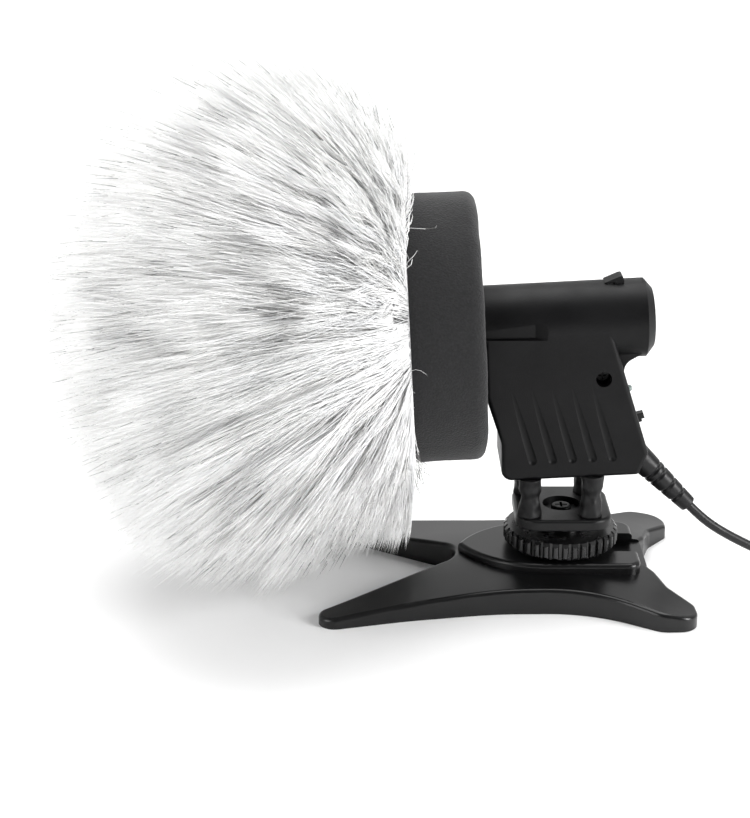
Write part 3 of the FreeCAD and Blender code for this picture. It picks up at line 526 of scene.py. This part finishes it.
def fur_mesh(name, lines, widths, slots, materials):
    """Closed three-sided tapering hairs as one mesh; slots gives each hair's material per step."""
    count, steps = lines.shape[:2]
    along = unit(np.gradient(lines, axis=1))
    aside = unit(np.cross(along, unit(rng.normal(0, 1, (count, 1, 3)))))
    up = np.cross(along, aside)
    corners = []
    for side in range(3):
        angle = 2 * math.pi * side / 3
        corners.append(lines + (aside * math.cos(angle) + up * math.sin(angle)) * widths[:, :, None])
    rings = np.stack(corners, 2)[:, :-1].reshape(count, -1, 3)
    points = np.concatenate([rings, lines[:, -1:]], 1)
    flat = np.array(MIC.to_3x3(), float)
    points = points.reshape(-1, 3) @ flat.T + np.array(MIC.translation, float)
    rings_count, each = steps - 1, 3 * (steps - 1) + 1
    quads, triangles, quad_slot, triangle_slot = [], [(2, 1, 0)], [], [0]
    for ring in range(rings_count - 1):
        for side in range(3):
            low, other = 3 * ring + side, 3 * ring + (side + 1) % 3
            quads.append((low, other, other + 3, low + 3))
            quad_slot.append(ring)
    last = 3 * (rings_count - 1)
    for side in range(3):
        triangles.append((last + side, last + (side + 1) % 3, each - 1))
        triangle_slot.append(rings_count - 1)
    offsets = (np.arange(count) * each)[:, None, None]
    corners = [(np.array(faces)[None] + offsets).reshape(count, -1) for faces in (quads, triangles)]
    corners = np.concatenate(corners, 1).ravel()
    sizes = np.tile([4] * len(quads) + [3] * len(triangles), count)
    mesh = bpy.data.meshes.new(name)
    mesh.vertices.add(len(points))
    mesh.vertices.foreach_set("co", points.astype(np.float32).ravel())
    mesh.loops.add(len(corners))
    mesh.loops.foreach_set("vertex_index", corners.astype(np.int32))
    mesh.polygons.add(len(sizes))
    mesh.polygons.foreach_set("loop_start", (np.cumsum(sizes) - sizes).astype(np.int32))
    for material in materials:
        mesh.materials.append(material)
    face_slots = slots[:, quad_slot + triangle_slot].ravel()
    mesh.polygons.foreach_set("material_index", face_slots.astype(np.int32))
    mesh.polygons.foreach_set("use_smooth", np.ones(len(sizes), bool))
    mesh.update()
    return mesh


def undercoat(material):
    """The dense short wool under the hair, as a closed shell with streaks from hem to nose."""
    around, steps = 180, 56
    slope = np.linspace(0.10, 1.555, steps)
    angle = np.arange(around) * 2 * np.pi / around
    slope, angle = np.tile(slope, around), np.repeat(angle, steps)
    out = np.stack([-np.sin(slope), np.cos(slope) * np.sin(angle), np.cos(slope) * np.cos(angle)], 1)
    start = np.array([HEM_X, 0.0, 0.0])
    share = np.interp(slope, [0.1, 0.5, 1.2], [0.74, 0.79, 0.80])
    streaks = np.array([
        0.0022 * noise.noise(Vector((7 * math.cos(a), 7 * math.sin(a), 2.0 * s)))
        + 0.0009 * noise.noise(Vector((34 * math.cos(a), 34 * math.sin(a), 4.0 * s)))
        for a, s in zip(angle, slope)
    ])
    inner = (start + out * (knit_distance(out) + 0.0003)[:, None]).reshape(around, steps, 3)
    reach = pile_distance(start, out) * hanging(out) * share + streaks
    reach = np.maximum(reach, knit_distance(out) + 0.001)
    outer = (start + out * reach[:, None]).reshape(around, steps, 3)[:, ::-1]
    points = np.concatenate([inner, outer], 1).reshape(-1, 3)
    mesh = mesh_from("undercoat", points, turned_faces(2 * steps, around), material, MIC)
    add("fur_undercoat", mesh, "fur_cover", ("fur_pile",))


def fur_tones():
    """One material for each tone of hair, and a greyer root material that is painted shade; a hair's four
    steps pick from them by number.
    """
    tones = [
        # fur_root_painted_shade is painted shade: a greyer, rougher root step that stands in for the shade
        # deep in the pile.
        ("fur_root_painted_shade", (0.92, 0.92, 0.92), 0.9), ("fur_white", (0.97, 0.97, 0.965), 0.6),
        ("fur_cool", (0.94, 0.945, 0.955), 0.66), ("fur_cream", (0.955, 0.95, 0.935), 0.66),
        ("fur_grey", (0.86, 0.86, 0.865), 0.72), ("fur_guard_mid", (0.20, 0.195, 0.19), 0.55),
        ("fur_guard_dark", (0.035, 0.034, 0.033), 0.5),
    ]
    return [principled(name, colour, rough, Specular_IOR_Level=0.12) for name, colour, rough in tones]


def lock_centres():
    """Evenly spread directions over the half ball ahead of the hem."""
    index = np.arange(LOCKS) + 0.5
    rise, around = index / LOCKS, index * math.pi * (3 - math.sqrt(5))
    side = np.sqrt(1 - rise * rise)
    return np.stack([-rise, side * np.sin(around), side * np.cos(around)], 1)


def pile_hair(centres):
    """Lines, tones and widths of the white hair: locks of tufts of hairs."""
    lock_tip = spread(combed(centres), 1, 0.032)
    tuft_root, tuft_tip = spread(centres, TUFTS, 0.045), spread(lock_tip, TUFTS, 0.046)
    root, tip = spread(tuft_root, HAIRS, 0.022), spread(tuft_tip, HAIRS, 0.016)
    root[:, 0] = np.minimum(root[:, 0], -0.004)
    tip[:, 0] = np.minimum(tip[:, 0], 0.04 - 0.12 * np.clip(-tip[:, 2], 0, 1))
    root, tip = unit(root), unit(tip)
    count = len(root)
    lock_length = np.repeat(rng.uniform(0.93, 1.03, LOCKS), TUFTS * HAIRS) * hanging(tip)
    tuft_length = np.repeat(rng.uniform(0.94, 1.04, LOCKS * TUFTS), HAIRS)
    is_short = rng.random(count) < 0.35
    length = np.where(is_short, rng.uniform(0.80, 0.96, count), rng.uniform(0.96, 1.04, count))
    sway, phase = rng.uniform(0.0004, 0.0016, LOCKS * TUFTS), rng.random(LOCKS * TUFTS)
    wave = np.repeat(np.stack([sway, phase], 1), HAIRS, axis=0)
    lines = hair_lines(root, tip, lock_length * tuft_length * length, wave)
    tone = np.repeat(rng.choice([1, 2, 3, 4], LOCKS * TUFTS, p=[0.60, 0.22, 0.13, 0.05]), HAIRS)
    # Step 0 takes the root material, painted shade of the pile's depth; the last step is white.
    slots = np.stack([np.zeros(count, int), tone, tone, np.ones(count, int)], 1)
    thick = rng.uniform(0.8, 1.15, (count, 1)) * HAIR_WIDTHS
    return lines, slots, thick


def guard_hair(centres):
    """Lines, tones and widths of the sparse guard hairs, each dark over one stretch near its tip."""
    root = spread(centres[rng.integers(0, LOCKS, GUARDS)], 1, 0.05)
    root[:, 0] = np.minimum(root[:, 0], -0.01)
    tip = spread(combed(unit(root)), 1, 0.09)
    wave = np.stack([rng.uniform(0.0, 0.002, GUARDS), rng.random(GUARDS)], 1)
    lines = hair_lines(unit(root), tip, rng.uniform(0.90, 1.05, GUARDS), wave)
    slots = np.ones((GUARDS, 4), int)
    slots[::2, 2], slots[1::2, 3] = 5, 6
    thick = rng.uniform(0.7, 1.2, (GUARDS, 1)) * GUARD_WIDTHS
    return lines, slots, thick


def fur():
    """The whole pile as gores about the microphone's axis, each under the triangle limit of a piece."""
    materials, centres = fur_tones(), lock_centres()
    lines, slots, thick = pile_hair(centres)
    guard_lines, guard_slots, guard_thick = guard_hair(centres)
    lines = clear_of_stand(np.concatenate([lines, guard_lines, stray_lines(STRAYS)]))
    slots = np.concatenate([slots, guard_slots, np.ones((STRAYS, 4), int)])
    thick = np.concatenate([thick, guard_thick, 0.6 * guard_thick[:STRAYS]])
    middle = lines[:, 2]
    order = np.argsort(np.arctan2(middle[:, 1], middle[:, 2]))
    undercoat(principled("fur_wool", (0.94, 0.94, 0.935), 0.95, Specular_IOR_Level=0.1))
    for number, chosen in enumerate(np.array_split(order, GORES), 1):
        mesh = fur_mesh("fur", lines[chosen], thick[chosen], slots[chosen], materials)
        add(f"fur_gore_{number:02d}", mesh, "fur_cover", ("fur_pile",))


# ---- the CAD nodes' materials -----------------------------------------------------------------
def dress(material, *names):
    for name in names:
        for place in nodes[name].material_slots:
            place.material = material


def cad_materials():
    black, soft_black = (0.003, 0.003, 0.0032), (0.005, 0.005, 0.0053)
    smooth = principled("stand_black", soft_black, 0.28, Specular_IOR_Level=0.42)
    vary_colour(smooth, black, soft_black, 60)
    dress(smooth, "stand_base")
    wheel = moulded("wheel_black", black, (0.005, 0.005, 0.0055), (0.22, 0.30), 2600, 0.00001, 0.6)
    dress(wheel, "thumb_wheel")
    mount = moulded("mount_black", black, (0.0055, 0.0055, 0.006), (0.34, 0.46))
    dress(mount, "mount_plate", "shoe_foot", "clamp_washer")
    case_dark, case_light = (0.0025, 0.0025, 0.0028), (0.0045, 0.0045, 0.005)
    case = moulded("case_black", case_dark, case_light, (0.40, 0.50), 3200, 0.00004, 0.18)
    dress(case, "case_near", "case_far", "battery_cap", "cap_latch")
    dress(moulded("knob_black", black, soft_black, (0.3, 0.4)), "switch_knob", "switch_body")
    dress(moulded("plug_black", black, soft_black, (0.34, 0.44)), "plug_body")
    dress(moulded("capsule_holder", black, soft_black, (0.5, 0.6)), "capsule_carrier")
    lens = principled("led_lens", (0.50, 0.60, 0.57), 0.12, Transmission_Weight=0.6, IOR=1.49)
    vary_roughness(lens, 0.08, 0.2, 400)
    dress(lens, "power_led")
    board = moulded("board_green", (0.01, 0.09, 0.03), (0.015, 0.14, 0.05), (0.3, 0.45))
    dress(board, "circuit_board")
    brass = metal("brass", (0.62, 0.42, 0.16), (0.78, 0.56, 0.24), (0.25, 0.4))
    dress(brass, "tripod_insert", "front_contact")
    dress(metal("gold_plate", (0.80, 0.55, 0.22), (0.92, 0.68, 0.32), (0.14, 0.24)), "plug_pin")
    bright_steel = metal("bright_steel", (0.50, 0.50, 0.51), (0.64, 0.64, 0.65), (0.22, 0.36))
    dress(bright_steel, "battery_spring", "shoe_stud")
    black_steel = metal("black_steel", (0.012, 0.012, 0.012), (0.03, 0.03, 0.03), (0.35, 0.5))
    dress(black_steel, "mount_screw", "case_screw")
    dress(metal("battery_can", (0.46, 0.46, 0.47), (0.6, 0.6, 0.61), (0.2, 0.34), (1, 8, 8)), "battery")
    capsule = metal("capsule_can", (0.42, 0.42, 0.43), (0.56, 0.56, 0.57), (0.3, 0.4))
    dress(capsule, "capsule_left", "capsule_right")
    tube_metal = principled("black_aluminium", (0.02, 0.02, 0.021), 0.42, Metallic=0.6)
    vary_colour(tube_metal, (0.015, 0.015, 0.016), (0.03, 0.03, 0.031), 900, (1, 6, 6))
    vary_roughness(tube_metal, 0.36, 0.5, 700, (1, 6, 6))
    dress(tube_metal, "head_tube")
    grille = principled("grille_mesh", (0.02, 0.02, 0.021), 0.45, Metallic=0.6)
    vary_colour(grille, (0.008, 0.008, 0.008), (0.05, 0.05, 0.052), 2400)
    add_bump(grille, voronoi_node(grille.node_tree, 900, "DISTANCE_TO_EDGE").outputs["Distance"], 0.0003)
    dress(grille, "head_grille")


# ---- floor and light --------------------------------------------------------------------------
def area_light(name, where, target, size, power):
    data = bpy.data.lights.new(name, "AREA")
    data.shape, data.size, data.size_y, data.energy = "RECTANGLE", size[0], size[1], power
    light = add(name, data)
    light.location = where
    light.rotation_euler = (Vector(target) - Vector(where)).to_track_quat("-Z", "Y").to_euler()


def studio():
    """A pale floor under a white sky that is brighter overhead and behind, a sun and two side lights."""
    floor_material = principled("pale_floor", (0.93, 0.93, 0.93), 0.8)
    vary_colour(floor_material, (0.92, 0.92, 0.92), (0.94, 0.94, 0.94), 3)
    points = [(-4, -4, 0), (4, -4, 0), (4, 4, 0), (-4, 4, 0)]
    floor = add("floor", mesh_from("floor", points, [(0, 1, 2, 3)], floor_material))
    world = bpy.data.worlds.new("soft_light")
    world.use_nodes = True
    tree = world.node_tree
    tree.nodes["Background"].inputs["Color"].default_value = (1, 1, 1, 1)
    where = tree.nodes.new("ShaderNodeTexCoord")
    towards = tree.nodes.new("ShaderNodeVectorMath")
    towards.operation = "DOT_PRODUCT"
    towards.inputs[1].default_value = (0.0, 0.75, 0.66)
    remap = tree.nodes.new("ShaderNodeMapRange")
    remap.inputs["From Min"].default_value, remap.inputs["From Max"].default_value = 0.1, 0.75
    remap.inputs["To Min"].default_value, remap.inputs["To Max"].default_value = 0.10, 0.95
    tree.links.new(where.outputs["Generated"], towards.inputs[0])
    tree.links.new(towards.outputs["Value"], remap.inputs["Value"])
    tree.links.new(remap.outputs["Result"], tree.nodes["Background"].inputs["Strength"])
    bpy.context.scene.world = world
    sky = bpy.data.lights.new("sky", "SUN")
    sky.energy, sky.angle = 2.1, math.radians(50)
    add("sky", sky).rotation_euler = Vector((0.08, -0.30, -1.0)).to_track_quat("-Z", "Y").to_euler()
    middle = (-0.04, 0, 0.07)
    area_light("left", (-1.1, -0.6, 0.5), middle, (0.9, 0.7), 10.5)
    area_light("right", (1.1, -0.6, 0.5), middle, (0.5, 0.7), 18)
    bpy.context.scene.view_settings.view_transform = "Standard"


def main():
    camera()
    cord()
    dark, light = (0.005, 0.005, 0.0055), (0.009, 0.009, 0.0095)
    strain_relief(rubbery("relief_rubber", dark, light, (0.32, 0.44), 600, 0.00004))
    rubber_posts(rubbery("post_rubber", (0.003, 0.003, 0.0033), (0.006, 0.006, 0.0065), (0.42, 0.58)))
    foam()
    fur()
    knit_and_hem()
    cad_materials()
    studio()


main()
